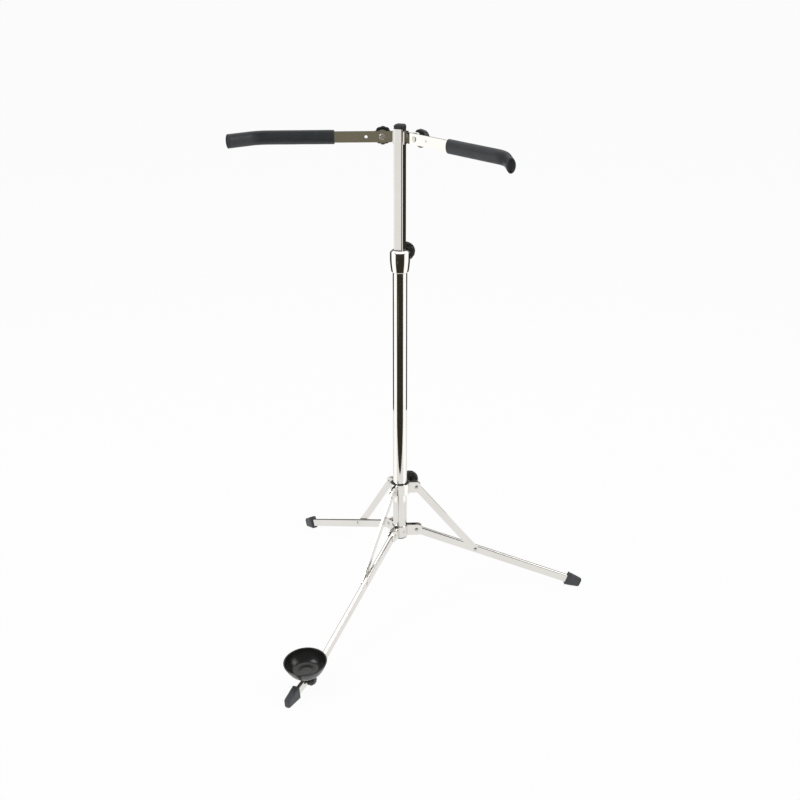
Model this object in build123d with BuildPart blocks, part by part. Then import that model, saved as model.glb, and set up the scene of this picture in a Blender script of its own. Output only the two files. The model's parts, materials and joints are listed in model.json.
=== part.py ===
from build123d import *
import os
from math import asin, atan2, cos, degrees, hypot, radians, sin, sqrt

os.makedirs("parts", exist_ok=True)

# Folding instrument stand. Millimetres, +Z up, standing on z = 0.
# The front leg, which carries the cup, points along -Y.
# The origin is on the floor, in the middle of the stand's footprint box.

# ---------------------------------------------------------------- driving dimensions
# Tripod linkage
PIVOT_RADIUS = 30.0        # leg and strut pivots, from the post axis
HUB_PIVOT_Z = 130.0
RUNNER_PIVOT_Z = 213.5
LEG_SLOPE = 21.84          # degrees below level
STRUT_RIVET_ALONG = 116.6  # along each leg, from its pivot
LEG_AZIMUTHS = {"front": -90.0, "right": 30.0, "left": 150.0}

# Legs: pressed channels, closed and rounded along the top, open underneath
LEG_TALL = 14.0
LEG_WIDE = 7.0
LEG_WALL = 1.2
LEG_CORNER = 2.6
REAR_LEG_LENGTH = 303.0    # pivot to the foot cap
FRONT_BEND_ALONG = 287.0   # where the front leg turns towards level
FRONT_TOE_SLOPE = 8.1
FRONT_TOE_LENGTH = 85.4    # bend to the foot cap
FRONT_BEND_RADIUS = 60.0

# Struts: flat bars, riveted to the side of each leg and set over to the runner's ears
STRUT_WIDE = 12.5
STRUT_THICK = 2.5
STRUT_TOP_STRAIGHT = 20.0
STRUT_FOOT_STRAIGHT = 45.0
RIVET_HEAD_RADIUS = 3.6
RIVET_HEAD_DEEP = 1.2

# Rubber foot caps
CAP_LENGTH = 28.0
CAP_TALL = 24.0
CAP_WIDE = 13.0
CAP_END_TALL = 16.0
CAP_END_WIDE = 9.5
CAP_POCKET = 20.0
CAP_CORNER = 3.0
CAP_EDGE = 1.2

# Post
LOWER_TUBE_RADIUS = 12.5
TUBE_WALL = 1.5
LOWER_TUBE_BOTTOM = 118.0
LOWER_TUBE_TOP = 636.0
MAST_SIDE = 16.0
MAST_CORNER = 2.0
MAST_WALL = 1.5
MAST_BOTTOM = 400.0
MAST_TOP = 851.0
TOP_CAP_TALL = 7.5
TOP_CAP_LIP = 0.4
TOP_CAP_CORNER = 3.0
TOP_CAP_CHAMFER = 2.4
TOP_CAP_PLUG = 10.0

# Hub and runner, each of three pressed plates
SHEET = 1.5
EAR_TALL = 20.0
HUB_BAND_RADIUS = 12.5
HUB_EAR_REACH = 40.0
RUNNER_BAND_RADIUS = 15.6
RUNNER_EAR_REACH = 37.5
EAR_CORNER = 8.0
SIDE_PLAY = 0.1            # each side of a leg or strut between its ears
PIVOT_HEAD_RADIUS = 3.8
PIVOT_HEAD_DEEP = 1.4
SPOT_RADIUS = 2.2
SPOT_TALL = 0.8
SPOT_SINK = 0.05
SPOT_TAPER = 25
BUSH_PLAY = 0.08
BOSS_RADIUS = 6.0
BOSS_CHAMFER = 0.8
BOSS_TO_KNOB = 3.0

# Collar
COLLAR_BOTTOM = 612.0
COLLAR_TOP = 650.0
COLLAR_RADIUS = 17.2
COLLAR_FOOT_RADIUS = 14.8
COLLAR_FOOT_EDGE = 1.5
COLLAR_WAIST_RADIUS = 16.6
COLLAR_WAIST_UP = 14.0
COLLAR_BAND_DEEP = 12.0
COLLAR_CROWN_RADIUS = 13.2
COLLAR_CROWN_DEEP = 3.5
COLLAR_LEDGE = 0.6
COLLAR_PLATE = 3.0
COLLAR_BOSS_RADIUS = 6.5
MAST_PLAY = 0.1
HEIGHT_SCREW_Z = 643.0

# Knobs and screws
KNOB_RADIUS = 16.0
KNOB_DEEP = 13.0
KNOB_FLUTES = 10
KNOB_EDGE = 1.5
KNOB_GRIP = 4.0            # screw head's cover inside the knob
SCREW_RADIUS = 3.0
SCREW_POINT = 0.6
THREAD_PLAY = 0.05
TIP_GAP = 0.3              # between a clamp screw's tip and the tube it grips
HEIGHT_KNOB_BACK = 20.0    # front face of the knob, behind the post axis
RUNNER_KNOB_BACK = 37.0

# Arms: flat bars that hang a little below level from their bolts
ARM_Z = 837.0
ARM_DROOP = 1.0            # degrees
ARM_SWEEP = 22.4           # degrees forward of sideways
ARM_BACK = 6.0             # the arms' centre lines meet this far behind the post axis
ARM_TALL = 18.0
ARM_THICK = 3.0
ARM_START = 14.0
ARM_END_CORNER = 4.0
ARM_BOLT_ALONG = 31.5
ARM_HOLE_ALONG = 58.0
ARM_HOLE_RADIUS = 2.6
ARM_BEND_ALONG = 216.5
ARM_BEND_RADIUS = 53.0
ARM_BEND_ANGLE = 39.0
ARM_TIP_LENGTH = 38.0
SLEEVE_START = 110.0
SLEEVE_TALL = 23.2
SLEEVE_THICK = 14.0
SLEEVE_BORE = 9.5
SLEEVE_OVERHANG = 14.0
BRACKET_SHEET = 2.5
BRACKET_TALL = 20.0
BRACKET_FRONT = 1.0        # how much shorter than the mast its cheeks are at the front
WING_START = 9.0
WING_LOBE = 11.0
ARM_KNOB_RADIUS = 15.0
ARM_KNOB_STANDOFF = 5.0
WASHER_RADIUS = 7.0
WASHER_THICK = 1.2
BOLT_HEAD_RADIUS = 5.0
BOLT_HEAD_DEEP = 1.2
BOLT_HEAD_TAPER = 35
BRACKET_HEAD_RADIUS = 4.0
BRACKET_HEAD_DEEP = 1.6
BRACKET_HEAD_TAPER = 30

# Cup
CUP_ALONG = 50.5           # from the front leg's bend
CUP_RIM_RADIUS = 35.4
CUP_RIM_UP = 35.7          # rim above the leg's centre line
CUP_WALL = 2.4
CUP_FOOT_RADIUS = 9.0
CUP_SIDE_RADIUS = 26.5     # a point half way up the bowl's side
CUP_SIDE_UP = 8.2
CUP_LIP = 1.2
CUP_FLOOR_THICK = 4.2
CUP_FLOOR_RADIUS = 19.0
CUP_FLOOR_STEP = 1.0
CUP_RING_RADIUS = 9.0
CUP_RING_WIDE = 2.0
CUP_RING_TALL = 0.6
CLAMP_LONG = 20.0
CLAMP_WALL = 3.2
CLAMP_PLAY = 0.1
CLAMP_CORNER = 2.0
CUP_KNOB_RADIUS = 9.5
CUP_KNOB_DEEP = 8.0
CUP_KNOB_GAP = 0.6
CUP_SCREW_SHORT = 2.0      # how far the screw stops inside the knob's end

PIN_RADIUS = 2.0
PIN_PLAY = 0.05

# ---------------------------------------------------------------- derived places
slope = radians(LEG_SLOPE)
toe_slope = radians(FRONT_TOE_SLOPE)
bend_reach = PIVOT_RADIUS + FRONT_BEND_ALONG * cos(slope)
bend_z = HUB_PIVOT_Z - FRONT_BEND_ALONG * sin(slope)
front_reach = bend_reach + (FRONT_TOE_LENGTH + CAP_LENGTH) * cos(toe_slope)
rear_reach = PIVOT_RADIUS + (REAR_LEG_LENGTH + CAP_LENGTH) * cos(slope)
POST_Y = (front_reach - rear_reach * sin(radians(30))) / 2

rivet_drop = STRUT_RIVET_ALONG * sin(slope)
strut_out = STRUT_RIVET_ALONG * cos(slope)
strut_down = RUNNER_PIVOT_Z - HUB_PIVOT_Z + rivet_drop
STRUT_LENGTH = hypot(strut_out, strut_down)
strut_slope = degrees(atan2(strut_down, strut_out))

strut_side_offset = LEG_WIDE / 2 + SIDE_PLAY + STRUT_THICK / 2

hub_ear_offset = LEG_WIDE / 2 + SIDE_PLAY
runner_ear_offset = STRUT_THICK / 2 + SIDE_PLAY


# ---------------------------------------------------------------- planes
def level(height):
    """Horizontal plane at a height, centred on the post axis."""
    return Plane(origin=(0, POST_Y, height))


def leg_plane(azimuth, reach, height, tilt=0.0):
    """Upright plane of a leg: x outwards and down by tilt, y upwards, z across the leg."""
    turn = radians(azimuth)
    fall = radians(tilt)
    origin = (reach * cos(turn), POST_Y + reach * sin(turn), height)
    x_dir = (cos(turn) * cos(fall), sin(turn) * cos(fall), -sin(fall))
    return Plane(origin=origin, x_dir=x_dir, z_dir=(sin(turn), -cos(turn), 0))


def along(plane, distance):
    """The plane square to another plane's x axis, a distance along it; its y stays upwards."""
    return Plane(origin=plane.origin + plane.x_dir * distance, x_dir=-plane.z_dir, z_dir=plane.x_dir)


def back_plane(back, height):
    """Upright plane behind the post, facing backwards."""
    return Plane(origin=(0, POST_Y + back, height), x_dir=(-1, 0, 0), z_dir=(0, 1, 0))


# ---------------------------------------------------------------- repeated pieces
def make_knob(face, radius, deep, bore_radius, bore_deep):
    """Fluted hand knob: its front face lies on the plane and it grows along the normal."""
    side = Plane(origin=face.origin, x_dir=face.x_dir, z_dir=-face.y_dir)
    shoulder = 0.35 * deep
    rim = (radius - 2.5, deep - 2)
    crown = (radius - 4, deep - 0.6)
    flat = (radius - 6, deep)
    with BuildPart() as knob:
        with BuildSketch(side):
            with BuildLine():
                Polyline((0, 0), (radius - KNOB_EDGE, 0), (radius, KNOB_EDGE), (radius, shoulder), rim)
                ThreePointArc(rim, crown, flat)
                Polyline(flat, (0, deep), (0, 0))
            make_face()
        revolve(axis=Axis(face.origin, face.z_dir))
        with BuildSketch(face):
            with PolarLocations(radius + 1.6, KNOB_FLUTES):
                Circle(0.19 * radius)
        extrude(amount=deep, mode=Mode.SUBTRACT)
        with BuildSketch(face):
            Circle(bore_radius)
        extrude(amount=bore_deep, mode=Mode.SUBTRACT)
    return knob.part


def make_rivet(foot, length, head_radius, head_deep):
    """Half of a rivet: a round shank standing on a plane, with a low domed head at its far end."""
    side = Plane(origin=foot.origin, x_dir=foot.x_dir, z_dir=-foot.y_dir)
    end = length + head_deep
    dome = (head_radius ** 2 + head_deep ** 2) / (2 * head_deep)
    half_turn = asin(head_radius / dome) / 2
    shoulder = (dome * sin(half_turn), end - dome * (1 - cos(half_turn)))
    with BuildPart() as rivet:
        with BuildSketch(side):
            with BuildLine():
                ThreePointArc((0, end), shoulder, (head_radius, length))
                Polyline((head_radius, length), (PIN_RADIUS, length), (PIN_RADIUS, 0), (0, 0), (0, end))
            make_face()
        revolve(axis=Axis(foot.origin, foot.z_dir))
    return rivet.part


def make_pivot(middle, half_length):
    """Pivot pin across a plane, headed on both sides."""
    with BuildPart() as pivot:
        add(make_rivet(middle, half_length, PIVOT_HEAD_RADIUS, PIVOT_HEAD_DEEP))
        mirror(about=middle)
    return pivot.part


def make_plate(azimuth, pivot_z, band_radius, ear_offset, ear_reach):
    """Pressed plate: a third of a band round the post, with an ear beside each of two legs."""
    sector = degrees(asin((ear_offset + SHEET / 2) / (band_radius + SHEET / 2)))
    ear_start = sqrt(band_radius ** 2 - ear_offset ** 2)
    far = 3 * band_radius
    wedge = [(0, 0)]
    for wedge_azimuth in (azimuth + sector, azimuth + 60, azimuth + 120 - sector):
        wedge.append((far * cos(radians(wedge_azimuth)), far * sin(radians(wedge_azimuth))))
    axis_point = Vector(0, POST_Y, pivot_z)
    with BuildPart() as plate:
        with BuildSketch(level(pivot_z - EAR_TALL / 2)):
            Circle(band_radius + SHEET)
            Circle(band_radius, mode=Mode.SUBTRACT)
            with BuildLine():
                Polyline(wedge, close=True)
            make_face(mode=Mode.INTERSECT)
            for ear_azimuth, side in ((azimuth, 1), (azimuth + 120, -1)):
                turn = radians(ear_azimuth)
                middle = (ear_start + ear_reach) / 2
                across = side * (ear_offset + SHEET / 2)
                centre_x = middle * cos(turn) - across * sin(turn)
                centre_y = middle * sin(turn) + across * cos(turn)
                with Locations(Location((centre_x, centre_y, 0), (0, 0, ear_azimuth))):
                    Rectangle(ear_reach - ear_start, SHEET)
        extrude(amount=EAR_TALL)
        uprights = plate.edges().filter_by(lambda edge: abs(edge.length - SHEET) < 0.01)
        fillet(uprights.filter_by(lambda edge: (edge.center() - axis_point).length > ear_reach), EAR_CORNER)
        for ear_azimuth in (azimuth, azimuth + 120):
            with BuildSketch(leg_plane(ear_azimuth, PIVOT_RADIUS, pivot_z)):
                Circle(PIN_RADIUS)
            extrude(amount=LEG_WIDE, both=True, mode=Mode.SUBTRACT)
    return plate.part


def make_cap(end):
    """Rubber foot cap on a leg's end; its lower outer edge is worn flat on the floor."""
    with BuildPart() as cap:
        with BuildSketch(along(end, 0)):
            RectangleRounded(CAP_WIDE, CAP_TALL, CAP_CORNER)
        with BuildSketch(along(end, CAP_LENGTH)):
            RectangleRounded(CAP_END_WIDE, CAP_END_TALL, CAP_CORNER)
        loft()
        ends = cap.faces().filter_by(lambda face: abs(face.normal_at().dot(end.x_dir)) > 0.99)
        fillet(ends.edges(), CAP_EDGE)
        with BuildSketch(along(end, 0)):
            Rectangle(LEG_WIDE, LEG_TALL)
        extrude(amount=CAP_POCKET, mode=Mode.SUBTRACT)
        split(bisect_by=Plane.XY, keep=Keep.TOP)
    return cap.part


# ---------------------------------------------------------------- lower post
with BuildPart() as lower_tube:
    with BuildSketch(level(LOWER_TUBE_BOTTOM)):
        Circle(LOWER_TUBE_RADIUS)
        Circle(LOWER_TUBE_RADIUS - TUBE_WALL, mode=Mode.SUBTRACT)
    extrude(amount=LOWER_TUBE_TOP - LOWER_TUBE_BOTTOM)
lower_tube.part.label = "lower_tube"
export_step(lower_tube.part, "parts/lower_tube.step")

PLUG_RIM = 2.0
PLUG_DEEP = 14.0
with BuildPart() as tube_plug:
    with BuildSketch(level(LOWER_TUBE_BOTTOM)):
        Circle(LOWER_TUBE_RADIUS - TUBE_WALL)
    extrude(amount=PLUG_DEEP)
    with BuildSketch(level(LOWER_TUBE_BOTTOM)):
        Circle(LOWER_TUBE_RADIUS)
    extrude(amount=-PLUG_RIM)
    chamfer(tube_plug.edges().group_by(Axis.Z)[0], 0.8)
    with BuildSketch(level(LOWER_TUBE_BOTTOM + PLUG_RIM)):
        Circle(LOWER_TUBE_RADIUS - 2 * TUBE_WALL - 1)
    extrude(amount=PLUG_DEEP, mode=Mode.SUBTRACT)
tube_plug.part.label = "tube_plug"
export_step(tube_plug.part, "parts/tube_plug.step")

# ---------------------------------------------------------------- hub: plates, spot rivets and leg pivots
PLATE_AZIMUTHS = {"right": -90.0, "back": 30.0, "left": 150.0}
for place, azimuth in PLATE_AZIMUTHS.items():
    hub_plate = make_plate(azimuth, HUB_PIVOT_Z, HUB_BAND_RADIUS, hub_ear_offset, HUB_EAR_REACH)
    hub_plate.label = f"hub_plate_{place}"
    export_step(hub_plate, f"parts/hub_plate_{place}.step")

with BuildPart() as hub_rivets:
    for azimuth in PLATE_AZIMUTHS.values():
        spot = leg_plane(azimuth + 60, HUB_BAND_RADIUS + SHEET, HUB_PIVOT_Z)
        with BuildSketch(along(spot, -SPOT_SINK)):
            Circle(SPOT_RADIUS)
        extrude(amount=SPOT_TALL, taper=SPOT_TAPER)
        with BuildSketch(level(HUB_PIVOT_Z)):
            Circle(HUB_BAND_RADIUS + SHEET)
        extrude(amount=SPOT_RADIUS * 2, both=True, mode=Mode.SUBTRACT)
hub_rivets.part.label = "hub_rivets"
export_step(hub_rivets.part, "parts/hub_rivets.step")

for place, azimuth in LEG_AZIMUTHS.items():
    hub_pivot = make_pivot(leg_plane(azimuth, PIVOT_RADIUS, HUB_PIVOT_Z), hub_ear_offset + SHEET)
    hub_pivot.label = f"hub_pivot_{place}"
    export_step(hub_pivot, f"parts/hub_pivot_{place}.step")

# ---------------------------------------------------------------- runner: plates, bush, pivots, clamp
for place, azimuth in PLATE_AZIMUTHS.items():
    runner_plate = make_plate(azimuth, RUNNER_PIVOT_Z, RUNNER_BAND_RADIUS, runner_ear_offset,
                              RUNNER_EAR_REACH)
    if place == "back":
        with BuildPart() as drilled:
            add(runner_plate)
            with BuildSketch(back_plane(0, RUNNER_PIVOT_Z)):
                Circle(SCREW_RADIUS + THREAD_PLAY)
            extrude(amount=RUNNER_BAND_RADIUS + 2 * SHEET, mode=Mode.SUBTRACT)
        runner_plate = drilled.part
    runner_plate.label = f"runner_plate_{place}"
    export_step(runner_plate, f"parts/runner_plate_{place}.step")

with BuildPart() as runner_bush:
    with BuildSketch(level(RUNNER_PIVOT_Z - EAR_TALL / 2)):
        Circle(RUNNER_BAND_RADIUS)
        Circle(LOWER_TUBE_RADIUS + BUSH_PLAY, mode=Mode.SUBTRACT)
    extrude(amount=EAR_TALL - 1)
    with BuildSketch(back_plane(0, RUNNER_PIVOT_Z)):
        Circle(SCREW_RADIUS + THREAD_PLAY)
    extrude(amount=RUNNER_BAND_RADIUS + SHEET, mode=Mode.SUBTRACT)
runner_bush.part.label = "runner_bush"
export_step(runner_bush.part, "parts/runner_bush.step")

for place, azimuth in LEG_AZIMUTHS.items():
    runner_pivot = make_pivot(leg_plane(azimuth, PIVOT_RADIUS, RUNNER_PIVOT_Z), runner_ear_offset + SHEET)
    runner_pivot.label = f"runner_pivot_{place}"
    export_step(runner_pivot, f"parts/runner_pivot_{place}.step")

boss_end = RUNNER_KNOB_BACK - BOSS_TO_KNOB
with BuildPart() as runner_boss:
    with BuildSketch(back_plane(0, RUNNER_PIVOT_Z)):
        Circle(BOSS_RADIUS)
    extrude(amount=boss_end)
    chamfer(runner_boss.edges().group_by(Axis.Y)[-1], BOSS_CHAMFER)
    with BuildSketch(level(RUNNER_PIVOT_Z)):
        Circle(RUNNER_BAND_RADIUS + SHEET)
    extrude(amount=EAR_TALL, both=True, mode=Mode.SUBTRACT)
    with BuildSketch(back_plane(0, RUNNER_PIVOT_Z)):
        Circle(SCREW_RADIUS + THREAD_PLAY)
    extrude(amount=boss_end, mode=Mode.SUBTRACT)
runner_boss.part.label = "runner_boss"
export_step(runner_boss.part, "parts/runner_boss.step")


def make_screw(tip, knob_front, height):
    """Clamp screw behind the post: from its tip near the tube to its grip inside the knob."""
    with BuildPart() as screw:
        with BuildSketch(back_plane(tip, height)):
            Circle(SCREW_RADIUS)
        extrude(amount=knob_front + KNOB_DEEP - KNOB_GRIP - tip)
        chamfer(screw.edges().group_by(Axis.Y)[0], SCREW_POINT)
    return screw.part


runner_screw = make_screw(LOWER_TUBE_RADIUS + TIP_GAP, RUNNER_KNOB_BACK, RUNNER_PIVOT_Z)
runner_screw.label = "runner_screw"
export_step(runner_screw, "parts/runner_screw.step")

runner_knob = make_knob(back_plane(RUNNER_KNOB_BACK, RUNNER_PIVOT_Z), KNOB_RADIUS, KNOB_DEEP,
                        SCREW_RADIUS, KNOB_DEEP - KNOB_GRIP)
runner_knob.label = "runner_knob"
export_step(runner_knob, "parts/runner_knob.step")

# ---------------------------------------------------------------- legs, their rivets and foot caps
for place, azimuth in LEG_AZIMUTHS.items():
    side = leg_plane(azimuth, PIVOT_RADIUS, HUB_PIVOT_Z, LEG_SLOPE)
    if place == "front":
        toe = leg_plane(azimuth, bend_reach, bend_z, FRONT_TOE_SLOPE)
        end = Plane(origin=toe.origin + toe.x_dir * FRONT_TOE_LENGTH, x_dir=toe.x_dir, z_dir=toe.z_dir)
        corner = tuple(side.to_local_coords(toe.origin))[:2]
        stop = tuple(side.to_local_coords(end.origin + end.x_dir * CAP_POCKET))[:2]
        route = [(-LEG_TALL / 2, 0), corner, stop]
    else:
        end = Plane(origin=side.origin + side.x_dir * REAR_LEG_LENGTH, x_dir=side.x_dir, z_dir=side.z_dir)
        route = [(-LEG_TALL / 2, 0), (REAR_LEG_LENGTH + CAP_POCKET, 0)]

    with BuildPart() as leg:
        with BuildLine(side) as centre_line:
            if len(route) == 3:
                FilletPolyline(*route, radius=FRONT_BEND_RADIUS)
            else:
                Line(*route)
        with BuildSketch(along(side, -LEG_TALL / 2)) as section:
            Rectangle(LEG_WIDE, LEG_TALL)
            fillet(section.vertices().group_by(Axis.Y)[-1], LEG_CORNER)
            with Locations((0, -LEG_WALL)):
                Rectangle(LEG_WIDE - 2 * LEG_WALL, LEG_TALL, mode=Mode.SUBTRACT)
        sweep(path=centre_line.line)
        with BuildSketch(side):
            with Locations((-LEG_TALL / 2, 0)):
                Rectangle(LEG_TALL, 2 * LEG_TALL)
            Circle(LEG_TALL / 2, mode=Mode.SUBTRACT)
        extrude(amount=LEG_WIDE, both=True, mode=Mode.SUBTRACT)
        with BuildSketch(side):
            Circle(PIN_RADIUS + PIN_PLAY)
            with Locations((STRUT_RIVET_ALONG, 0)):
                Circle(PIN_RADIUS)
        extrude(amount=LEG_WIDE, both=True, mode=Mode.SUBTRACT)
    leg.part.label = f"leg_{place}"
    export_step(leg.part, f"parts/leg_{place}.step")

    rivet_foot = Plane(origin=side.origin + side.x_dir * STRUT_RIVET_ALONG + side.z_dir * LEG_WIDE / 2,
                       x_dir=side.x_dir, z_dir=-side.z_dir)
    leg_rivet = make_rivet(rivet_foot, LEG_WIDE, RIVET_HEAD_RADIUS, RIVET_HEAD_DEEP)
    leg_rivet.label = f"leg_rivet_{place}"
    export_step(leg_rivet, f"parts/leg_rivet_{place}.step")

    foot_cap = make_cap(end)
    foot_cap.label = f"foot_cap_{place}"
    export_step(foot_cap, f"parts/foot_cap_{place}.step")

# ---------------------------------------------------------------- struts and their rivets
skew_end = STRUT_LENGTH - STRUT_FOOT_STRAIGHT
strut_end = STRUT_LENGTH + STRUT_WIDE / 2
half_thick = STRUT_THICK / 2
strut_edge = [(-STRUT_WIDE / 2, 0), (STRUT_TOP_STRAIGHT, 0), (skew_end, strut_side_offset),
              (strut_end, strut_side_offset)]
strut_outline = [(x, y - half_thick) for x, y in strut_edge]
strut_outline += [(x, y + half_thick) for x, y in strut_edge[::-1]]
for place, azimuth in LEG_AZIMUTHS.items():
    side = leg_plane(azimuth, PIVOT_RADIUS, RUNNER_PIVOT_Z, strut_slope)
    plan = Plane(origin=side.origin, x_dir=side.x_dir, z_dir=-side.y_dir)
    with BuildPart() as strut:
        with BuildSketch(plan):
            with BuildLine():
                Polyline(strut_outline, close=True)
            make_face()
        extrude(amount=STRUT_WIDE / 2, both=True)
        with BuildSketch(side):
            with Locations((STRUT_LENGTH / 2, 0)):
                SlotCenterToCenter(STRUT_LENGTH, STRUT_WIDE)
            Circle(PIN_RADIUS + PIN_PLAY, mode=Mode.SUBTRACT)
            with Locations((STRUT_LENGTH, 0)):
                Circle(PIN_RADIUS, mode=Mode.SUBTRACT)
        extrude(amount=2 * strut_side_offset, both=True, mode=Mode.INTERSECT)
    strut.part.label = f"strut_{place}"
    export_step(strut.part, f"parts/strut_{place}.step")

    strut_foot = side.origin + side.x_dir * STRUT_LENGTH
    rivet_foot = Plane(origin=strut_foot + side.z_dir * (LEG_WIDE / 2 + SIDE_PLAY),
                       x_dir=side.x_dir, z_dir=side.z_dir)
    strut_rivet = make_rivet(rivet_foot, STRUT_THICK, RIVET_HEAD_RADIUS, RIVET_HEAD_DEEP)
    strut_rivet.label = f"strut_rivet_{place}"
    export_step(strut_rivet, f"parts/strut_rivet_{place}.step")

# ---------------------------------------------------------------- collar, its bush, height screw and knob
ceiling = COLLAR_TOP - COLLAR_PLATE
foot_edge = (COLLAR_FOOT_RADIUS - COLLAR_FOOT_EDGE, COLLAR_BOTTOM)
foot_top = (COLLAR_FOOT_RADIUS, COLLAR_BOTTOM + COLLAR_FOOT_EDGE)
waist = (COLLAR_WAIST_RADIUS, COLLAR_BOTTOM + COLLAR_WAIST_UP)
band_bottom = (COLLAR_RADIUS, COLLAR_TOP - COLLAR_BAND_DEEP)
band_top = (COLLAR_RADIUS, COLLAR_TOP - COLLAR_CROWN_DEEP)
crown_foot = (COLLAR_RADIUS - COLLAR_LEDGE, COLLAR_TOP - COLLAR_CROWN_DEEP + COLLAR_LEDGE)
with BuildPart() as collar:
    with BuildSketch(Plane(origin=(0, POST_Y, 0), x_dir=(1, 0, 0), z_dir=(0, -1, 0))):
        with BuildLine():
            Polyline((LOWER_TUBE_RADIUS, COLLAR_BOTTOM), foot_edge, foot_top)
            ThreePointArc(foot_top, waist, band_bottom)
            Polyline(band_bottom, band_top, crown_foot, (COLLAR_CROWN_RADIUS, COLLAR_TOP), (0, COLLAR_TOP),
                     (0, ceiling), (LOWER_TUBE_RADIUS, ceiling), (LOWER_TUBE_RADIUS, COLLAR_BOTTOM))
        make_face()
    revolve(axis=Axis((0, POST_Y, 0), (0, 0, 1)))
    with BuildSketch(back_plane(LOWER_TUBE_RADIUS + 1, HEIGHT_SCREW_Z)):
        Circle(COLLAR_BOSS_RADIUS)
    extrude(amount=HEIGHT_KNOB_BACK - LOWER_TUBE_RADIUS - 2)
    with BuildSketch(level(ceiling)):
        RectangleRounded(MAST_SIDE + 1, MAST_SIDE + 1, MAST_CORNER)
    extrude(amount=2 * COLLAR_PLATE, mode=Mode.SUBTRACT)
    with BuildSketch(back_plane(0, HEIGHT_SCREW_Z)):
        Circle(SCREW_RADIUS + THREAD_PLAY)
    extrude(amount=HEIGHT_KNOB_BACK, mode=Mode.SUBTRACT)
collar.part.label = "collar"
export_step(collar.part, "parts/collar.step")

guide_side = MAST_SIDE + 2 * MAST_PLAY
with BuildPart() as collar_bush:
    with BuildSketch(level(LOWER_TUBE_TOP)):
        Circle(LOWER_TUBE_RADIUS)
        RectangleRounded(guide_side, guide_side, MAST_CORNER, mode=Mode.SUBTRACT)
    extrude(amount=ceiling - LOWER_TUBE_TOP)
    with BuildSketch(back_plane(0, HEIGHT_SCREW_Z)):
        Circle(SCREW_RADIUS + THREAD_PLAY)
    extrude(amount=HEIGHT_KNOB_BACK, mode=Mode.SUBTRACT)
collar_bush.part.label = "collar_bush"
export_step(collar_bush.part, "parts/collar_bush.step")

height_screw = make_screw(MAST_SIDE / 2 + TIP_GAP, HEIGHT_KNOB_BACK, HEIGHT_SCREW_Z)
height_screw.label = "height_screw"
export_step(height_screw, "parts/height_screw.step")

height_knob = make_knob(back_plane(HEIGHT_KNOB_BACK, HEIGHT_SCREW_Z), KNOB_RADIUS, KNOB_DEEP,
                        SCREW_RADIUS, KNOB_DEEP - KNOB_GRIP)
height_knob.label = "height_knob"
export_step(height_knob, "parts/height_knob.step")

# ---------------------------------------------------------------- square mast and its cap
with BuildPart() as square_tube:
    with BuildSketch(level(MAST_BOTTOM)):
        RectangleRounded(MAST_SIDE, MAST_SIDE, MAST_CORNER)
        RectangleRounded(MAST_SIDE - 2 * MAST_WALL, MAST_SIDE - 2 * MAST_WALL, MAST_CORNER - MAST_WALL,
                         mode=Mode.SUBTRACT)
    extrude(amount=MAST_TOP - MAST_BOTTOM)
    with BuildSketch(back_plane(0, ARM_Z)):
        Circle(PIN_RADIUS)
    extrude(amount=MAST_SIDE, mode=Mode.SUBTRACT)
square_tube.part.label = "square_tube"
export_step(square_tube.part, "parts/square_tube.step")

cap_side = MAST_SIDE + 2 * TOP_CAP_LIP
mast_bore = MAST_SIDE - 2 * MAST_WALL
with BuildPart() as top_cap:
    with BuildSketch(level(MAST_TOP)):
        RectangleRounded(cap_side, cap_side, TOP_CAP_CORNER)
    extrude(amount=TOP_CAP_TALL)
    chamfer(top_cap.edges().group_by(Axis.Z)[-1], TOP_CAP_CHAMFER)
    with BuildSketch(level(MAST_TOP)):
        RectangleRounded(mast_bore, mast_bore, MAST_CORNER - MAST_WALL)
    extrude(amount=-TOP_CAP_PLUG)
top_cap.part.label = "top_cap"
export_step(top_cap.part, "parts/top_cap.step")


# ---------------------------------------------------------------- bracket, arms, sleeves, bolts and knobs
def arm_plane(hand):
    """Upright plane of an arm's bracket wing: x outwards along it, z towards its back."""
    turn = radians(ARM_SWEEP)
    return Plane(origin=(0, POST_Y + ARM_BACK, ARM_Z), x_dir=(hand * cos(turn), -sin(turn), 0),
                 z_dir=(hand * sin(turn), cos(turn), 0))


def arm_centre_line(plan, start, tip_length):
    """An arm's path, seen from above: straight out from its bolt, then a bend forwards and a tip."""
    with BuildLine(plan) as route:
        straight = Line((start - ARM_BOLT_ALONG, 0), (ARM_BEND_ALONG - ARM_BOLT_ALONG, 0))
        turn_in = JernArc(straight @ 1, straight % 1, ARM_BEND_RADIUS, -ARM_BEND_ANGLE)
        Line(turn_in @ 1, (turn_in @ 1) + (turn_in % 1) * tip_length)
    return route.line


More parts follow.
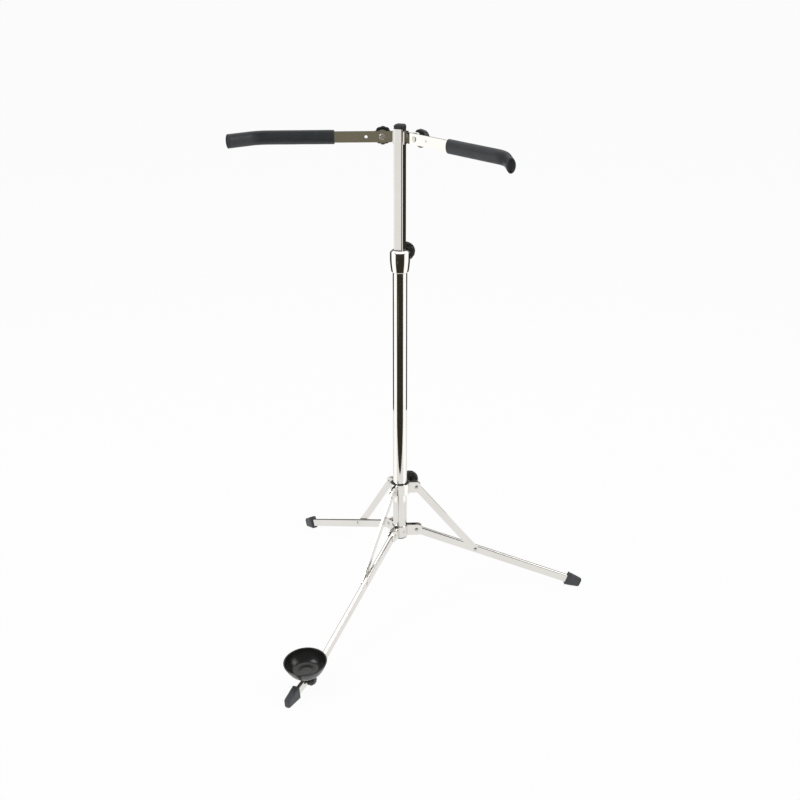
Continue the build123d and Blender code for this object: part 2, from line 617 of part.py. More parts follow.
HANDS = {"left": -1, "right": 1}
saddle_half = MAST_SIDE / 2 + BRACKET_SHEET
wing_back = ARM_THICK / 2 + SIDE_PLAY
with BuildPart() as arm_bracket:
    with BuildSketch(level(ARM_Z - BRACKET_TALL / 2)):
        with Locations((0, BRACKET_SHEET / 2 + BRACKET_FRONT)):
            Rectangle(2 * saddle_half, MAST_SIDE + BRACKET_SHEET - 2 * BRACKET_FRONT)
        Rectangle(MAST_SIDE, MAST_SIDE, mode=Mode.SUBTRACT)
    extrude(amount=BRACKET_TALL)
    for hand in HANDS.values():
        wing = arm_plane(hand)
        with BuildSketch(wing.offset(wing_back)):
            with Locations((ARM_BOLT_ALONG, 0)):
                Circle(WING_LOBE)
            with Locations(((WING_START + ARM_BOLT_ALONG) / 2, 0)):
                Rectangle(ARM_BOLT_ALONG - WING_START, ARM_TALL - 2)
        extrude(amount=BRACKET_SHEET)
    with BuildSketch(level(ARM_Z)):
        Rectangle(MAST_SIDE, MAST_SIDE)
    extrude(amount=BRACKET_TALL, both=True, mode=Mode.SUBTRACT)
    for hand in HANDS.values():
        with BuildSketch(arm_plane(hand)):
            with Locations((ARM_BOLT_ALONG, 0)):
                Circle(SCREW_RADIUS)
        extrude(amount=2 * WING_LOBE, both=True, mode=Mode.SUBTRACT)
    with BuildSketch(back_plane(0, ARM_Z)):
        Circle(PIN_RADIUS)
    extrude(amount=2 * MAST_SIDE, mode=Mode.SUBTRACT)
arm_bracket.part.label = "arm_bracket"
export_step(arm_bracket.part, "parts/arm_bracket.step")

with BuildPart() as bracket_rivet:
    with BuildSketch(back_plane(MAST_SIDE / 2 - MAST_WALL, ARM_Z)):
        Circle(PIN_RADIUS)
    extrude(amount=MAST_WALL + BRACKET_SHEET)
    with BuildSketch(back_plane(MAST_SIDE / 2 + BRACKET_SHEET, ARM_Z)):
        Circle(BRACKET_HEAD_RADIUS)
    extrude(amount=BRACKET_HEAD_DEEP, taper=BRACKET_HEAD_TAPER)
bracket_rivet.part.label = "bracket_rivet"
export_step(bracket_rivet.part, "parts/bracket_rivet.step")

bolt_back = wing_back + BRACKET_SHEET + WASHER_THICK
arm_knob_front = bolt_back + SIDE_PLAY + ARM_KNOB_STANDOFF
bore_half = SLEEVE_BORE / 2
bore_half_tall = (ARM_TALL / 2 + THREAD_PLAY) / sqrt(1 - (ARM_THICK / SLEEVE_BORE) ** 2)
droop = radians(ARM_DROOP)
for place, hand in HANDS.items():
    wing = arm_plane(hand)
    bolt_axis = Plane(origin=wing.origin + wing.x_dir * ARM_BOLT_ALONG, x_dir=wing.x_dir, z_dir=wing.z_dir)
    bar_x = wing.x_dir * cos(droop) - Vector(0, 0, sin(droop))
    bar = Plane(origin=bolt_axis.origin, x_dir=bar_x, z_dir=wing.z_dir)
    plan = Plane(origin=bar.origin, x_dir=bar.x_dir, z_dir=-bar.y_dir)

    with BuildPart() as arm:
        with BuildSketch(along(bar, ARM_START - ARM_BOLT_ALONG)):
            Rectangle(ARM_THICK, ARM_TALL)
        sweep(path=arm_centre_line(plan, ARM_START, ARM_TIP_LENGTH - SLEEVE_OVERHANG))
        ends = arm.edges().filter_by(lambda edge: abs(edge.length - ARM_THICK) < 0.01)
        inner_corners = ends.group_by(lambda edge: (edge.center() - wing.origin).length)[0]
        fillet(inner_corners, ARM_END_CORNER)
        with BuildSketch(bar):
            Circle(SCREW_RADIUS + THREAD_PLAY)
            with Locations((ARM_HOLE_ALONG - ARM_BOLT_ALONG, 0)):
                Circle(ARM_HOLE_RADIUS)
        extrude(amount=ARM_THICK, both=True, mode=Mode.SUBTRACT)
    arm.part.label = f"arm_{place}"
    export_step(arm.part, f"parts/arm_{place}.step")

    with BuildPart() as sleeve:
        with BuildSketch(along(bar, SLEEVE_START - ARM_BOLT_ALONG)):
            Ellipse(SLEEVE_THICK / 2, SLEEVE_TALL / 2)
            Ellipse(bore_half, bore_half_tall, mode=Mode.SUBTRACT)
        sweep(path=arm_centre_line(plan, SLEEVE_START, ARM_TIP_LENGTH))
    sleeve.part.label = f"sleeve_{place}"
    export_step(sleeve.part, f"parts/sleeve_{place}.step")

    with BuildPart() as arm_bolt:
        with BuildSketch(bolt_axis.offset(-ARM_THICK / 2 - THREAD_PLAY)):
            Circle(BOLT_HEAD_RADIUS)
        extrude(amount=-BOLT_HEAD_DEEP, taper=BOLT_HEAD_TAPER)
        with BuildSketch(bolt_axis.offset(-ARM_THICK / 2 - THREAD_PLAY)):
            Circle(SCREW_RADIUS)
        extrude(amount=ARM_THICK + bolt_back + KNOB_DEEP)
    arm_bolt.part.label = f"arm_bolt_{place}"
    export_step(arm_bolt.part, f"parts/arm_bolt_{place}.step")

    with BuildPart() as arm_washer:
        with BuildSketch(bolt_axis.offset(wing_back + BRACKET_SHEET)):
            Circle(WASHER_RADIUS)
            Circle(SCREW_RADIUS, mode=Mode.SUBTRACT)
        extrude(amount=WASHER_THICK)
    arm_washer.part.label = f"arm_washer_{place}"
    export_step(arm_washer.part, f"parts/arm_washer_{place}.step")

    arm_knob = make_knob(bolt_axis.offset(arm_knob_front), ARM_KNOB_RADIUS, KNOB_DEEP,
                         SCREW_RADIUS + THREAD_PLAY, KNOB_DEEP - KNOB_GRIP / 2)
    arm_knob.label = f"arm_knob_{place}"
    export_step(arm_knob, f"parts/arm_knob_{place}.step")

# ---------------------------------------------------------------- cup, clamp and its knob
toe = leg_plane(LEG_AZIMUTHS["front"], bend_reach, bend_z, FRONT_TOE_SLOPE)
cup_side = Plane(origin=toe.origin + toe.x_dir * CUP_ALONG, x_dir=toe.x_dir, z_dir=toe.z_dir)
clamp_half_tall = LEG_TALL / 2 + CLAMP_PLAY + CLAMP_WALL
clamp_half_wide = LEG_WIDE / 2 + CLAMP_PLAY + CLAMP_WALL
with BuildPart() as cup_clamp:
    with BuildSketch(along(cup_side, -CLAMP_LONG / 2)):
        RectangleRounded(2 * clamp_half_wide, 2 * clamp_half_tall, CLAMP_CORNER)
        Rectangle(LEG_WIDE + 2 * CLAMP_PLAY, LEG_TALL + 2 * CLAMP_PLAY, mode=Mode.SUBTRACT)
    extrude(amount=CLAMP_LONG)
    with BuildSketch(cup_side):
        Circle(SCREW_RADIUS + THREAD_PLAY)
    extrude(amount=-2 * clamp_half_wide, mode=Mode.SUBTRACT)
cup_clamp.part.label = "cup_clamp"
export_step(cup_clamp.part, "parts/cup_clamp.step")

cup_bottom = clamp_half_tall
cup_floor = cup_bottom + CUP_FLOOR_THICK
cup_axis = Axis(cup_side.origin, cup_side.y_dir)
foot = (CUP_FOOT_RADIUS, cup_bottom)
outer_side = (CUP_SIDE_RADIUS, cup_bottom + CUP_SIDE_UP)
outer_lip = (CUP_RIM_RADIUS, CUP_RIM_UP - CUP_LIP)
rim_top = (CUP_RIM_RADIUS - CUP_LIP, CUP_RIM_UP)
inner_lip = (CUP_RIM_RADIUS - CUP_WALL, CUP_RIM_UP - CUP_LIP)
inner_side = (CUP_SIDE_RADIUS - 0.7 * CUP_WALL, cup_bottom + CUP_SIDE_UP + 0.8 * CUP_WALL)
ledge = (CUP_FLOOR_RADIUS, cup_floor + CUP_FLOOR_STEP)
ring_outer = CUP_RING_RADIUS + CUP_RING_WIDE / 2
ring_inner = CUP_RING_RADIUS - CUP_RING_WIDE / 2
ring_top = cup_floor + CUP_RING_TALL
with BuildPart() as cup:
    with BuildSketch(cup_side):
        with BuildLine():
            Line((0, cup_bottom), foot)
            ThreePointArc(foot, outer_side, outer_lip)
            ThreePointArc(outer_lip, rim_top, inner_lip)
            ThreePointArc(inner_lip, inner_side, ledge)
            Polyline(ledge, (CUP_FLOOR_RADIUS - CUP_FLOOR_STEP, cup_floor), (ring_outer, cup_floor))
            ThreePointArc((ring_outer, cup_floor), (CUP_RING_RADIUS, ring_top), (ring_inner, cup_floor))
            Polyline((ring_inner, cup_floor), (0, cup_floor), (0, cup_bottom))
        make_face()
    revolve(axis=cup_axis)
cup.part.label = "cup"
export_step(cup.part, "parts/cup.step")

cup_screw_face = Plane(origin=cup_side.origin, x_dir=cup_side.x_dir, z_dir=-cup_side.z_dir)
cup_screw_length = CLAMP_WALL + CUP_KNOB_DEEP - CUP_SCREW_SHORT
with BuildPart() as cup_screw:
    with BuildSketch(cup_screw_face.offset(LEG_WIDE / 2 + TIP_GAP)):
        Circle(SCREW_RADIUS)
    extrude(amount=cup_screw_length)
cup_screw.part.label = "cup_screw"
export_step(cup_screw.part, "parts/cup_screw.step")

cup_knob_front = clamp_half_wide + CUP_KNOB_GAP
cup_knob = make_knob(cup_screw_face.offset(cup_knob_front), CUP_KNOB_RADIUS, CUP_KNOB_DEEP, SCREW_RADIUS,
                     LEG_WIDE / 2 + TIP_GAP + cup_screw_length - cup_knob_front)
cup_knob.label = "cup_knob"
export_step(cup_knob, "parts/cup_knob.step")
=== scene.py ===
import json
from math import cos, pi, radians, sin, sqrt

import bmesh
import bpy
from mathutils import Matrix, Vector, noise


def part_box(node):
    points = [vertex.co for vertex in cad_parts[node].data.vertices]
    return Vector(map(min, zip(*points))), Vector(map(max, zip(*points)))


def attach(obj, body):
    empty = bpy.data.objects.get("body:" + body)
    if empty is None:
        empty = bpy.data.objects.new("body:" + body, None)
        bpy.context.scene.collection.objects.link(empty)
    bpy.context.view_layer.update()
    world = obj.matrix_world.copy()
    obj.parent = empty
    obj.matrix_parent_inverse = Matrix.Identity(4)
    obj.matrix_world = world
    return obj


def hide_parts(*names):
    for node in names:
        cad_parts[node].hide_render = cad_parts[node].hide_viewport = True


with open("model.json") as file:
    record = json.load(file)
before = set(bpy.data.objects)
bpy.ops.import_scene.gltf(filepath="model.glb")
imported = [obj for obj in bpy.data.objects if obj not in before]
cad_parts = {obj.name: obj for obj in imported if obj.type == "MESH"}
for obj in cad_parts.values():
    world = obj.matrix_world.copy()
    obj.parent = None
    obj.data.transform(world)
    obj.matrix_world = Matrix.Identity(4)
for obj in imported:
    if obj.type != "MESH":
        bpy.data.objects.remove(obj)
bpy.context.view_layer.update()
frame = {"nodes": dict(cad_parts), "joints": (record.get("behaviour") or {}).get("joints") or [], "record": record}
nodes = frame["nodes"]
joints = {joint["name"]: joint for joint in frame["joints"]}

# Folding instrument stand. Metres, +Z up; the post stands at the lower tube's centre.
tube_low, tube_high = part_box("lower_tube")
POST = (tube_low + tube_high) / 2
POST.z = 0.0
LEGS = ("front", "right", "left")
HANDS = {"left": -1, "right": 1}


# ---------------------------------------------------------------- camera
CAMERA_BEARING = radians(-64.23)   # from the post to the camera
CAMERA_AWAY = 2.1043
CAMERA_HEIGHT = 1.1816
CAMERA_PITCH = radians(20.83)


def make_camera():
    """Camera at the photograph's angle: it looks across at the post, tilted down."""
    data = bpy.data.cameras.new("camera")
    data.sensor_width = 36.0
    data.lens = 57.94
    data.dof.use_dof = False
    data.clip_start = 0.05
    data.clip_end = 200.0
    camera = bpy.data.objects.new("camera", data)
    bpy.context.scene.collection.objects.link(camera)
    camera.location = (POST.x + CAMERA_AWAY * cos(CAMERA_BEARING),
                       POST.y + CAMERA_AWAY * sin(CAMERA_BEARING), CAMERA_HEIGHT)
    camera.rotation_euler = (pi / 2 - CAMERA_PITCH, 0, CAMERA_BEARING + pi / 2)
    bpy.context.scene.camera = camera


make_camera()


# ---------------------------------------------------------------- materials
def new_material(name):
    """A node material with its Principled shader and a helper to add nodes."""
    material = bpy.data.materials.new(name)
    material.use_nodes = True
    tree = material.node_tree
    return material, tree, tree.nodes["Principled BSDF"]


def add_noise(tree, scale, detail=4.0, stretch=(1, 1, 1), roughness=0.55):
    """Noise in the object's own metres; a small stretch value draws it out along that axis."""
    place = tree.nodes.new("ShaderNodeTexCoord")
    mapping = tree.nodes.new("ShaderNodeMapping")
    mapping.inputs["Scale"].default_value = stretch
    texture = tree.nodes.new("ShaderNodeTexNoise")
    texture.inputs["Scale"].default_value = scale
    texture.inputs["Detail"].default_value = detail
    texture.inputs["Roughness"].default_value = roughness
    tree.links.new(place.outputs["Object"], mapping.inputs["Vector"])
    tree.links.new(mapping.outputs["Vector"], texture.inputs["Vector"])
    return texture.outputs["Fac"]


def add_range(tree, value, low, high, from_low=0.3, from_high=0.7):
    """Maps a noise value to a range."""
    ramp = tree.nodes.new("ShaderNodeMapRange")
    ramp.inputs["From Min"].default_value = from_low
    ramp.inputs["From Max"].default_value = from_high
    ramp.inputs["To Min"].default_value = low
    ramp.inputs["To Max"].default_value = high
    tree.links.new(value, ramp.inputs["Value"])
    return ramp.outputs["Result"]


def add_mix(tree, value, first, second):
    """Mixes two colours by a value."""
    mix = tree.nodes.new("ShaderNodeMix")
    mix.data_type = "RGBA"
    mix.inputs["A"].default_value = (*first, 1)
    mix.inputs["B"].default_value = (*second, 1)
    tree.links.new(value, mix.inputs["Factor"])
    return mix.outputs["Result"]


def add_bump(tree, shader, heights):
    """Bumps the surface by several (height, depth in metres) pairs, one on another."""
    normal = None
    for height, depth in heights:
        bump = tree.nodes.new("ShaderNodeBump")
        bump.inputs["Strength"].default_value = 1.0
        bump.inputs["Distance"].default_value = depth
        tree.links.new(height, bump.inputs["Height"])
        if normal is not None:
            tree.links.new(normal, bump.inputs["Normal"])
        normal = bump.outputs["Normal"]
    tree.links.new(normal, shader.inputs["Normal"])


def plated(name, bright, dull, smooth, worn, orange_peel=0.0000004):
    """Bright plate: clear reflections, very faint drawn lines, patches dulled by handling."""
    material, tree, shader = new_material(name)
    shader.inputs["Metallic"].default_value = 1.0
    patches = add_range(tree, add_noise(tree, 14.0, 5.0), 0.0, 1.0, 0.35, 0.75)
    tree.links.new(add_mix(tree, patches, bright, dull), shader.inputs["Base Color"])
    tree.links.new(add_range(tree, add_noise(tree, 40.0, 6.0), smooth, worn),
                   shader.inputs["Roughness"])
    add_bump(tree, shader, [(add_noise(tree, 260.0, 3.0), orange_peel),
                            (add_noise(tree, 1500.0, 2.0, (1, 1, 0.03)), orange_peel / 12)])
    return material


def rubber(name, dark, light, roughness, grain, depth):
    """Rubber or moulded plastic: a fine grain, dusty patches and small differences in roughness."""
    material, tree, shader = new_material(name)
    dust = add_range(tree, add_noise(tree, 60.0, 6.0), 0.0, 1.0)
    tree.links.new(add_mix(tree, dust, dark, light), shader.inputs["Base Color"])
    tree.links.new(add_range(tree, add_noise(tree, 90.0, 4.0), roughness - 0.04, roughness + 0.06),
                   shader.inputs["Roughness"])
    add_bump(tree, shader, [(add_noise(tree, grain, 3.0), depth)])
    return material


MATERIALS = {
    "nickel_plate": plated("nickel_plate", (0.775, 0.755, 0.725), (0.73, 0.705, 0.665), 0.04, 0.08),
    "bright_steel": plated("bright_steel", (0.66, 0.64, 0.61), (0.54, 0.52, 0.48), 0.18, 0.30,
                           0.00001),
    "sleeve_rubber": rubber("sleeve_rubber", (0.019, 0.022, 0.026), (0.024, 0.028, 0.033), 0.44,
                            2600.0, 0.00002),
    "foot_rubber": rubber("foot_rubber", (0.040, 0.042, 0.046), (0.058, 0.060, 0.064), 0.50,
                          1500.0, 0.00003),
    "black_plastic": rubber("black_plastic", (0.010, 0.010, 0.010), (0.016, 0.016, 0.015), 0.36,
                            2600.0, 0.00002),
    "cup_plastic": rubber("cup_plastic", (0.0150, 0.0165, 0.0145), (0.0190, 0.0205, 0.0180), 0.25,
                          2200.0, 0.00001),
    "guide_plastic": rubber("guide_plastic", (0.012, 0.012, 0.012), (0.020, 0.020, 0.020), 0.45,
                            1800.0, 0.00003),
}


def paint_cad_nodes():
    """Gives every CAD node the material of its slot."""
    slots = {part["node"]: part["material_slot"] for part in frame["record"]["subparts"]}
    for name, node in nodes.items():
        node.data.materials.clear()
        node.data.materials.append(MATERIALS[slots[name]])


paint_cad_nodes()


# ---------------------------------------------------------------- meshes built from rings
def make_piece(name, rings, material, body, replaced, closed=False):
    """A smooth skin over rings of equal size; the first and last are joined, or capped."""
    mesh = bpy.data.meshes.new(name)
    size = len(rings[0])
    points = [point for ring in rings for point in ring]
    faces = []
    count = len(rings)
    for row in range(count if closed else count - 1):
        here = row * size
        there = (row + 1) % count * size
        for step in range(size):
            after = (step + 1) % size
            faces.append((here + step, here + after, there + after, there + step))
    if not closed:
        faces.append(tuple(range(size))[::-1])
        faces.append(tuple(range((count - 1) * size, count * size)))
    mesh.from_pydata(points, [], faces)
    work = bmesh.new()
    work.from_mesh(mesh)
    bmesh.ops.recalc_face_normals(work, faces=work.faces)
    work.to_mesh(mesh)
    work.free()
    mesh.polygons.foreach_set("use_smooth", [True] * len(mesh.polygons))
    mesh.materials.append(material)
    piece = bpy.data.objects.new(name, mesh)
    bpy.context.scene.collection.objects.link(piece)
    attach(piece, body)
    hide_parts(replaced)
    return piece


def oval_outline(half_wide, half_tall, count):
    """Points of an oval, anticlockwise from the right."""
    return [(half_wide * cos(2 * pi * step / count), half_tall * sin(2 * pi * step / count))
            for step in range(count)]


def rounded_outline(half_wide, half_tall, radius, per_corner):
    """Points of a rounded rectangle, anticlockwise from the right."""
    radius = min(radius, half_wide, half_tall)
    points = []
    for corner in range(4):
        across = 1 if corner in (0, 3) else -1
        up = 1 if corner in (0, 1) else -1
        for step in range(per_corner):
            turn = (corner + step / (per_corner - 1)) * pi / 2
            points.append((across * (half_wide - radius) + radius * cos(turn),
                           up * (half_tall - radius) + radius * sin(turn)))
    return points


# ---------------------------------------------------------------- arm sleeves
ARM_DROOP = radians(1.0)
ARM_BOLT_ALONG = 0.0315
ARM_BEND_ALONG = 0.2165
ARM_BEND_RADIUS = 0.053
ARM_BEND_ANGLE = radians(39.0)
ARM_TIP_LENGTH = 0.038
SLEEVE_START = 0.110
SLEEVE_HALF_TALL = 0.0116
SLEEVE_HALF_THICK = 0.0070
BORE_HALF_TALL = 0.0097
BORE_HALF_THICK = 0.0050
SLEEVE_LIP = 0.0009
SLEEVE_STATIONS = 150
SLEEVE_SIDES = 48
SLEEVE_SWELL = 0.012               # share of the hose's size
SLEEVE_SWELL_SCALE = 40.0
# The hole in the sleeve's outer end: how deep each ring lies, and how much narrower than the bore.
RECESS_STEPS = ((0.0003, 0.0), (0.0012, 0.0002), (0.0019, 0.0006), (0.0023, 0.0014))


def sleeve_station(distance, start, outwards, forwards):
    """Place and direction of the sleeve's middle, a distance from its inner end."""
    straight = ARM_BEND_ALONG - SLEEVE_START
    bend = ARM_BEND_RADIUS * ARM_BEND_ANGLE
    if distance < straight:
        return start + outwards * distance, outwards
    turned = min((distance - straight) / ARM_BEND_RADIUS, ARM_BEND_ANGLE)
    place = start + outwards * (straight + ARM_BEND_RADIUS * sin(turned))
    place = place + forwards * (ARM_BEND_RADIUS * (1 - cos(turned)))
    heading = outwards * cos(turned) + forwards * sin(turned)
    return place + heading * max(distance - straight - bend, 0.0), heading


def make_sleeve(place, hand):
    """Rubber hose pressed flat over the arm: rounded lips, a shallow hole at the tip, an uneven skin."""
    joint = joints[f"arm_fold_{place}"]
    bolt = Vector(joint["pos_m"])
    axis = Vector(joint["axis"])
    forwards = -axis if axis.y > 0 else axis
    level = Vector((0, 0, 1)).cross(forwards) * hand
    outwards = level * cos(ARM_DROOP) - Vector((0, 0, sin(ARM_DROOP)))
    upwards = level * sin(ARM_DROOP) + Vector((0, 0, cos(ARM_DROOP)))
    start = bolt + outwards * (SLEEVE_START - ARM_BOLT_ALONG)
    length = ARM_BEND_ALONG - SLEEVE_START + ARM_BEND_RADIUS * ARM_BEND_ANGLE + ARM_TIP_LENGTH
    outer = []
    for step in range(SLEEVE_STATIONS + 1):
        distance = length * (0.5 - 0.5 * cos(pi * step / SLEEVE_STATIONS))
        middle, heading = sleeve_station(distance, start, outwards, forwards)
        inward = heading.cross(upwards)
        lip = max(SLEEVE_LIP - distance, distance - (length - SLEEVE_LIP), 0.0)
        shrink = SLEEVE_LIP - sqrt(max(SLEEVE_LIP ** 2 - lip ** 2, 0.0))
        ring = []
        for across, up in oval_outline(SLEEVE_HALF_THICK - shrink, SLEEVE_HALF_TALL - shrink,
                                       SLEEVE_SIDES):
            point = middle + inward * across + upwards * up
            swell = 1 + SLEEVE_SWELL * noise.noise(point * SLEEVE_SWELL_SCALE)
            ring.append(middle + inward * across * swell + upwards * up * swell)
        outer.append(ring)
    recess = []
    for depth, narrow in RECESS_STEPS:
        middle, heading = sleeve_station(length - depth, start, outwards, forwards)
        inward = heading.cross(upwards)
        hole = oval_outline(BORE_HALF_THICK - narrow, BORE_HALF_TALL - narrow, SLEEVE_SIDES)
        recess.append([middle + inward * across + upwards * up for across, up in hole])
    make_piece(f"rubber_sleeve_{place}", outer + recess, MATERIALS["sleeve_rubber"],
               f"arm_{place}", f"sleeve_{place}")


for place, hand in HANDS.items():
    make_sleeve(place, hand)


# ---------------------------------------------------------------- rubber foot caps
LEG_SLOPE = radians(21.84)
TOE_SLOPE = radians(8.1)
REAR_LEG_LENGTH = 0.303
FRONT_BEND_ALONG = 0.287
FRONT_TOE_LENGTH = 0.0854
CAP_LENGTH = {"front": 0.032, "right": 0.028, "left": 0.028}
CAP_HALF_WIDE = 0.0065
CAP_HALF_TALL = 0.012
CAP_END_HALF_WIDE = 0.00475
CAP_END_HALF_TALL = 0.008
CAP_ROUND = 0.0024                 # rounding of the far end
CAP_CORNER = 0.0032
CAP_BEAD = 0.0022
CAP_MOUTH_EDGE = 0.4 * CAP_BEAD
CAP_MOUTH_SHARE = 0.35             # how much less the mouth is rounded than the far end
CAP_GROOVE_AT = 1.5 * CAP_BEAD
CAP_GROOVE_HALF_WIDE = 0.6 * CAP_BEAD
CAP_GROOVE_DEEP = 0.0005
CAP_STATIONS = 44
CORNER_STEPS = 8


def leg_point(pivot, outwards, distance, slope):
    """The point a distance down a slope from a pivot."""
    return pivot + outwards * distance * cos(slope) - Vector((0, 0, distance * sin(slope)))


def leg_outwards(pivot):
    """Level direction from the post to a leg's pivot."""
    outwards = (pivot - POST) * Vector((1, 1, 0))
    outwards.normalize()
    return outwards


def make_foot_cap(place):
    """Rubber boot on a leg's end: a bead, a tapered body and a round end, worn flat below."""
    joint = joints[f"leg_fold_{place}"]
    pivot = Vector(joint["pos_m"])
    outwards = leg_outwards(pivot)
    slope = LEG_SLOPE
    if place == "front":
        bend = leg_point(pivot, outwards, FRONT_BEND_ALONG, slope)
        slope = TOE_SLOPE
        start = leg_point(bend, outwards, FRONT_TOE_LENGTH, slope)
    else:
        start = leg_point(pivot, outwards, REAR_LEG_LENGTH, slope)
    heading = outwards * cos(slope) - Vector((0, 0, sin(slope)))
    sideways = heading.cross(Vector((0, 0, 1))).normalized()
    upwards = sideways.cross(heading)
    length = CAP_LENGTH[place]
    rings = []
    for step in range(CAP_STATIONS + 1):
        distance = length * (1 - cos(pi * step / CAP_STATIONS)) / 2
        part = distance / length
        wide = CAP_HALF_WIDE + (CAP_END_HALF_WIDE - CAP_HALF_WIDE) * part
        tall = CAP_HALF_TALL + (CAP_END_HALF_TALL - CAP_HALF_TALL) * part
        groove = max(0.0, 1 - ((distance - CAP_GROOVE_AT) / CAP_GROOVE_HALF_WIDE) ** 2)
        groove = CAP_GROOVE_DEEP * groove
        ends = max(CAP_MOUTH_EDGE - distance, 0.0) * CAP_ROUND / CAP_MOUTH_EDGE * CAP_MOUTH_SHARE
        ends = max(ends, distance - (length - CAP_ROUND), 0.0)
        shrink = CAP_ROUND - sqrt(max(CAP_ROUND ** 2 - ends ** 2, 0.0)) + groove
        ring = []
        for across, up in rounded_outline(wide - shrink, tall - shrink, CAP_CORNER, CORNER_STEPS):
            point = start + heading * distance + sideways * across + upwards * up
            point.z = max(point.z, 0.0)
            ring.append(point)
        rings.append(ring)
    make_piece(f"rubber_foot_{place}", rings, MATERIALS["foot_rubber"], f"leg_{place}",
               f"foot_cap_{place}")


for place in LEGS:
    make_foot_cap(place)


# ---------------------------------------------------------------- cup and its clamp
CUP_ALONG = 0.0505                 # from the front leg's bend
CUP_TURNS = 96
# Half a section through the cup as (radius, height over the leg's centre line): under its foot, up
# the outside, over the lip, down the steep inner wall, round the fillet, over a low ring to the middle.
CUP_SECTION = ((0.0006, 0.0104), (0.0110, 0.0104), (0.0165, 0.0112), (0.0225, 0.0142), (0.0272, 0.0188),
               (0.0307, 0.0243), (0.0335, 0.0299), (0.0353, 0.0345), (0.0351, 0.0354), (0.0342, 0.0357),
               (0.0332, 0.0353), (0.0327, 0.0341), (0.0314, 0.0301), (0.0291, 0.0252), (0.0265, 0.0212),
               (0.0236, 0.0180), (0.0203, 0.0160), (0.0165, 0.0152), (0.0118, 0.0151), (0.0095, 0.0153),
               (0.0072, 0.0151), (0.0040, 0.0151), (0.0006, 0.0151))
CUP_GAP_STEPS = 5
CLAMP_FROM = -0.0125
CLAMP_TO = 0.0035
CLAMP_BORE_HALF_WIDE = 0.0036
CLAMP_BORE_HALF_TALL = 0.0071
CLAMP_WALL = 0.0026
CLAMP_CORNER = 0.0016
CLAMP_BORE_CORNER = 0.0003
CLAMP_EDGE_SHARE = 0.02            # rings close to each end keep its edges crisp


def curve_through(points, steps):
    """A smooth line through points, each gap cut into equal steps."""
    line = []
    for index in range(len(points) - 1):
        before, first = Vector(points[max(index - 1, 0)]), Vector(points[index])
        second, after = Vector(points[index + 1]), Vector(points[min(index + 2, len(points) - 1)])
        for step in range(steps):
            part = step / steps
            square, cube = part ** 2, part ** 3
            lean_first = (second - before) / 2
            lean_second = (after - first) / 2
            line.append(first * (2 * cube - 3 * square + 1) + lean_first * (cube - 2 * square + part)
                        + second * (3 * square - 2 * cube) + lean_second * (cube - square))
    line.append(Vector(points[-1]))
    return line


def make_cup():
    """Moulded cup, square to the leg's toe, and the clamp that holds it there."""
    pivot = Vector(joints["leg_fold_front"]["pos_m"])
    outwards = leg_outwards(pivot)
    bend = leg_point(pivot, outwards, FRONT_BEND_ALONG, LEG_SLOPE)
    heading = outwards * cos(TOE_SLOPE) - Vector((0, 0, sin(TOE_SLOPE)))
    sideways = heading.cross(Vector((0, 0, 1))).normalized()
    upwards = sideways.cross(heading)
    middle = bend + heading * CUP_ALONG
    rings = []
    for radius, height in curve_through(CUP_SECTION, CUP_GAP_STEPS):
        circle = oval_outline(radius, radius, CUP_TURNS)
        rings.append([middle + upwards * height + heading * across + sideways * along
                      for across, along in circle])
    make_piece("stand_cup", rings, MATERIALS["cup_plastic"], "cup", "cup")
    rings = []
    for wall, corner, start, end in ((CLAMP_WALL, CLAMP_CORNER, CLAMP_FROM, CLAMP_TO),
                                     (0.0, CLAMP_BORE_CORNER, CLAMP_TO, CLAMP_FROM)):
        outline = rounded_outline(CLAMP_BORE_HALF_WIDE + wall, CLAMP_BORE_HALF_TALL + wall,
                                  corner, CORNER_STEPS)
        edge = (end - start) * CLAMP_EDGE_SHARE
        for along in (start, start + edge, end - edge, end):
            ring_middle = middle + heading * along
            rings.append([ring_middle + sideways * across + upwards * up for across, up in outline])
    make_piece("cup_saddle", rings, MATERIALS["cup_plastic"], "cup", "cup_clamp",
               closed=True)


make_cup()


# ---------------------------------------------------------------- studio: floor, flags, world and lights
FLOOR_HALF_SIDE = 60.0
FLOOR_GLOW = (0.955, 0.955, 0.955)
FLOOR_DIFFUSE = 0.045
CARD_HEIGHT = 0.004
CARD_STEPS = 16
LIGHT_AIM_HEIGHT = 0.45
WORLD_STRENGTH = 0.22
DARK = (0.036, 0.031, 0.021)


def glowing(name, colour, diffuse=0.0):
    """A plain glowing stage material; a little of it also takes light and shade."""
    material, tree, shader = new_material(name)
    shader.inputs["Base Color"].default_value = (diffuse, diffuse, diffuse, 1)
    shader.inputs["Specular IOR Level"].default_value = 0.0
    shader.inputs["Roughness"].default_value = 1.0
    shader.inputs["Emission Color"].default_value = (*colour, 1)
    shader.inputs["Emission Strength"].default_value = 1.0
    return material


def make_stage(name, points, faces, material, seen=True):
    """A stage surface; an unseen one shows only in reflections."""
    mesh = bpy.data.meshes.new(name)
    mesh.from_pydata(points, [], faces)
    mesh.materials.append(material)
    piece = bpy.data.objects.new(name, mesh)
    bpy.context.scene.collection.objects.link(piece)
    if not seen:
        piece.visible_camera = False
        piece.visible_diffuse = False
        piece.visible_shadow = False
        piece.visible_transmission = False


def around(reach, turn, height):
    """A point round the post; turn is measured from the camera's bearing."""
    bearing = CAMERA_BEARING + turn
    return (POST.x + reach * cos(bearing), POST.y + reach * sin(bearing), height)


def make_floor():
    """Pale floor, as bright as the studio round it."""
    far = FLOOR_HALF_SIDE
    points = [(-far, -far, 0), (far, -far, 0), (far, far, 0), (-far, far, 0)]
    make_stage("floor", points, [(0, 1, 2, 3)], glowing("pale_floor", FLOOR_GLOW, FLOOR_DIFFUSE))


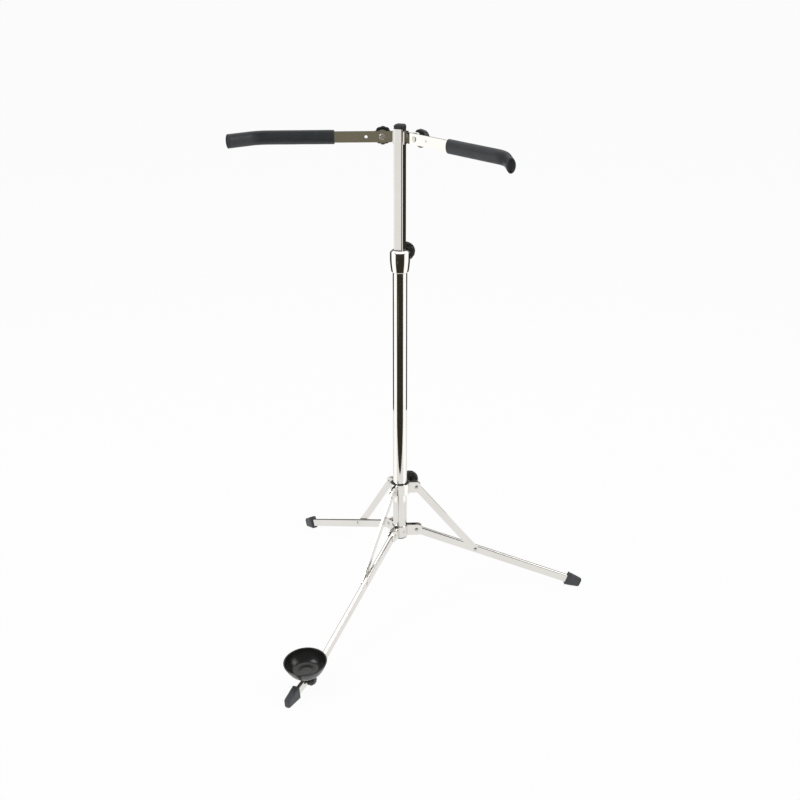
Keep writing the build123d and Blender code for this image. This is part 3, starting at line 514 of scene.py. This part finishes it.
def make_card(name, near, far, first_turn, last_turn, colour, near_height=CARD_HEIGHT,
              far_height=CARD_HEIGHT, straight=False):
    """Flag or bounce card seen only in reflections: a sector round the post, or straight-edged."""
    points = []
    for step in range(CARD_STEPS + 1):
        turn = radians(first_turn + (last_turn - first_turn) * step / CARD_STEPS)
        near_reach = near / cos(turn) if straight else near
        points.append(around(near_reach, turn, near_height))
        points.append(around(far, turn, far_height))
    faces = [(2 * step, 2 * step + 1, 2 * step + 3, 2 * step + 2) for step in range(CARD_STEPS)]
    make_stage(name, points, faces, glowing(name, colour), seen=False)


def make_light(name, turn, reach, height, size, watts):
    """Large soft light aimed at the middle of the stand."""
    data = bpy.data.lights.new(name, "AREA")
    data.shape = "RECTANGLE"
    data.size = size[0]
    data.size_y = size[1]
    data.energy = watts
    light = bpy.data.objects.new(name, data)
    bpy.context.scene.collection.objects.link(light)
    light.location = around(reach, radians(turn), height)
    aim = Vector((POST.x, POST.y, LIGHT_AIM_HEIGHT)) - light.location
    light.rotation_euler = aim.to_track_quat("-Z", "Y").to_euler()


def make_world():
    """Dim room over the pale floor."""
    world = bpy.data.worlds.new("studio")
    world.use_nodes = True
    background = world.node_tree.nodes["Background"]
    background.inputs["Color"].default_value = (1.0, 1.0, 1.0, 1)
    background.inputs["Strength"].default_value = WORLD_STRENGTH
    bpy.context.scene.world = world


make_floor()
make_card("front_flag", 0.55, 2.6, -50, 50, DARK, straight=True)
make_card("front_far_flag", 2.6, 9.0, -50, 50, (0.19, 0.175, 0.125))
make_card("front_streak", 1.55, 1.95, -33, -23, (0.12, 0.115, 0.09), 0.006, 0.006)
for side, name, haze in ((-1, "left", (0.12, 0.11, 0.09)), (1, "right", (0.40, 0.39, 0.36))):
    make_card(f"{name}_bounce", 0.40, 9.0, side * 56, side * 109, (1.35, 1.35, 1.35))
    make_card(f"{name}_back_flag", 0.93, 9.0, side * 110, side * 162, DARK)
    make_card(f"{name}_back_wall", 4.0, 4.0, side * 110, side * 162, DARK, 0.0, 0.32)
    make_card(f"{name}_back_haze", 4.0, 4.0, side * 110, side * 162, haze, 0.32, 1.1)
make_card("overhead", 0.9, 3.2, 100, 260, (1.5, 1.5, 1.5), 2.6, 2.6)
make_light("key", -62, 2.6, 2.2, (1.4, 1.6), 34)
make_light("fill", 74, 2.8, 1.8, (1.4, 1.8), 26)
make_light("top", 180, 0.8, 3.0, (2.4, 2.4), 26)
make_world()
bpy.context.scene.view_settings.view_transform = "Standard"
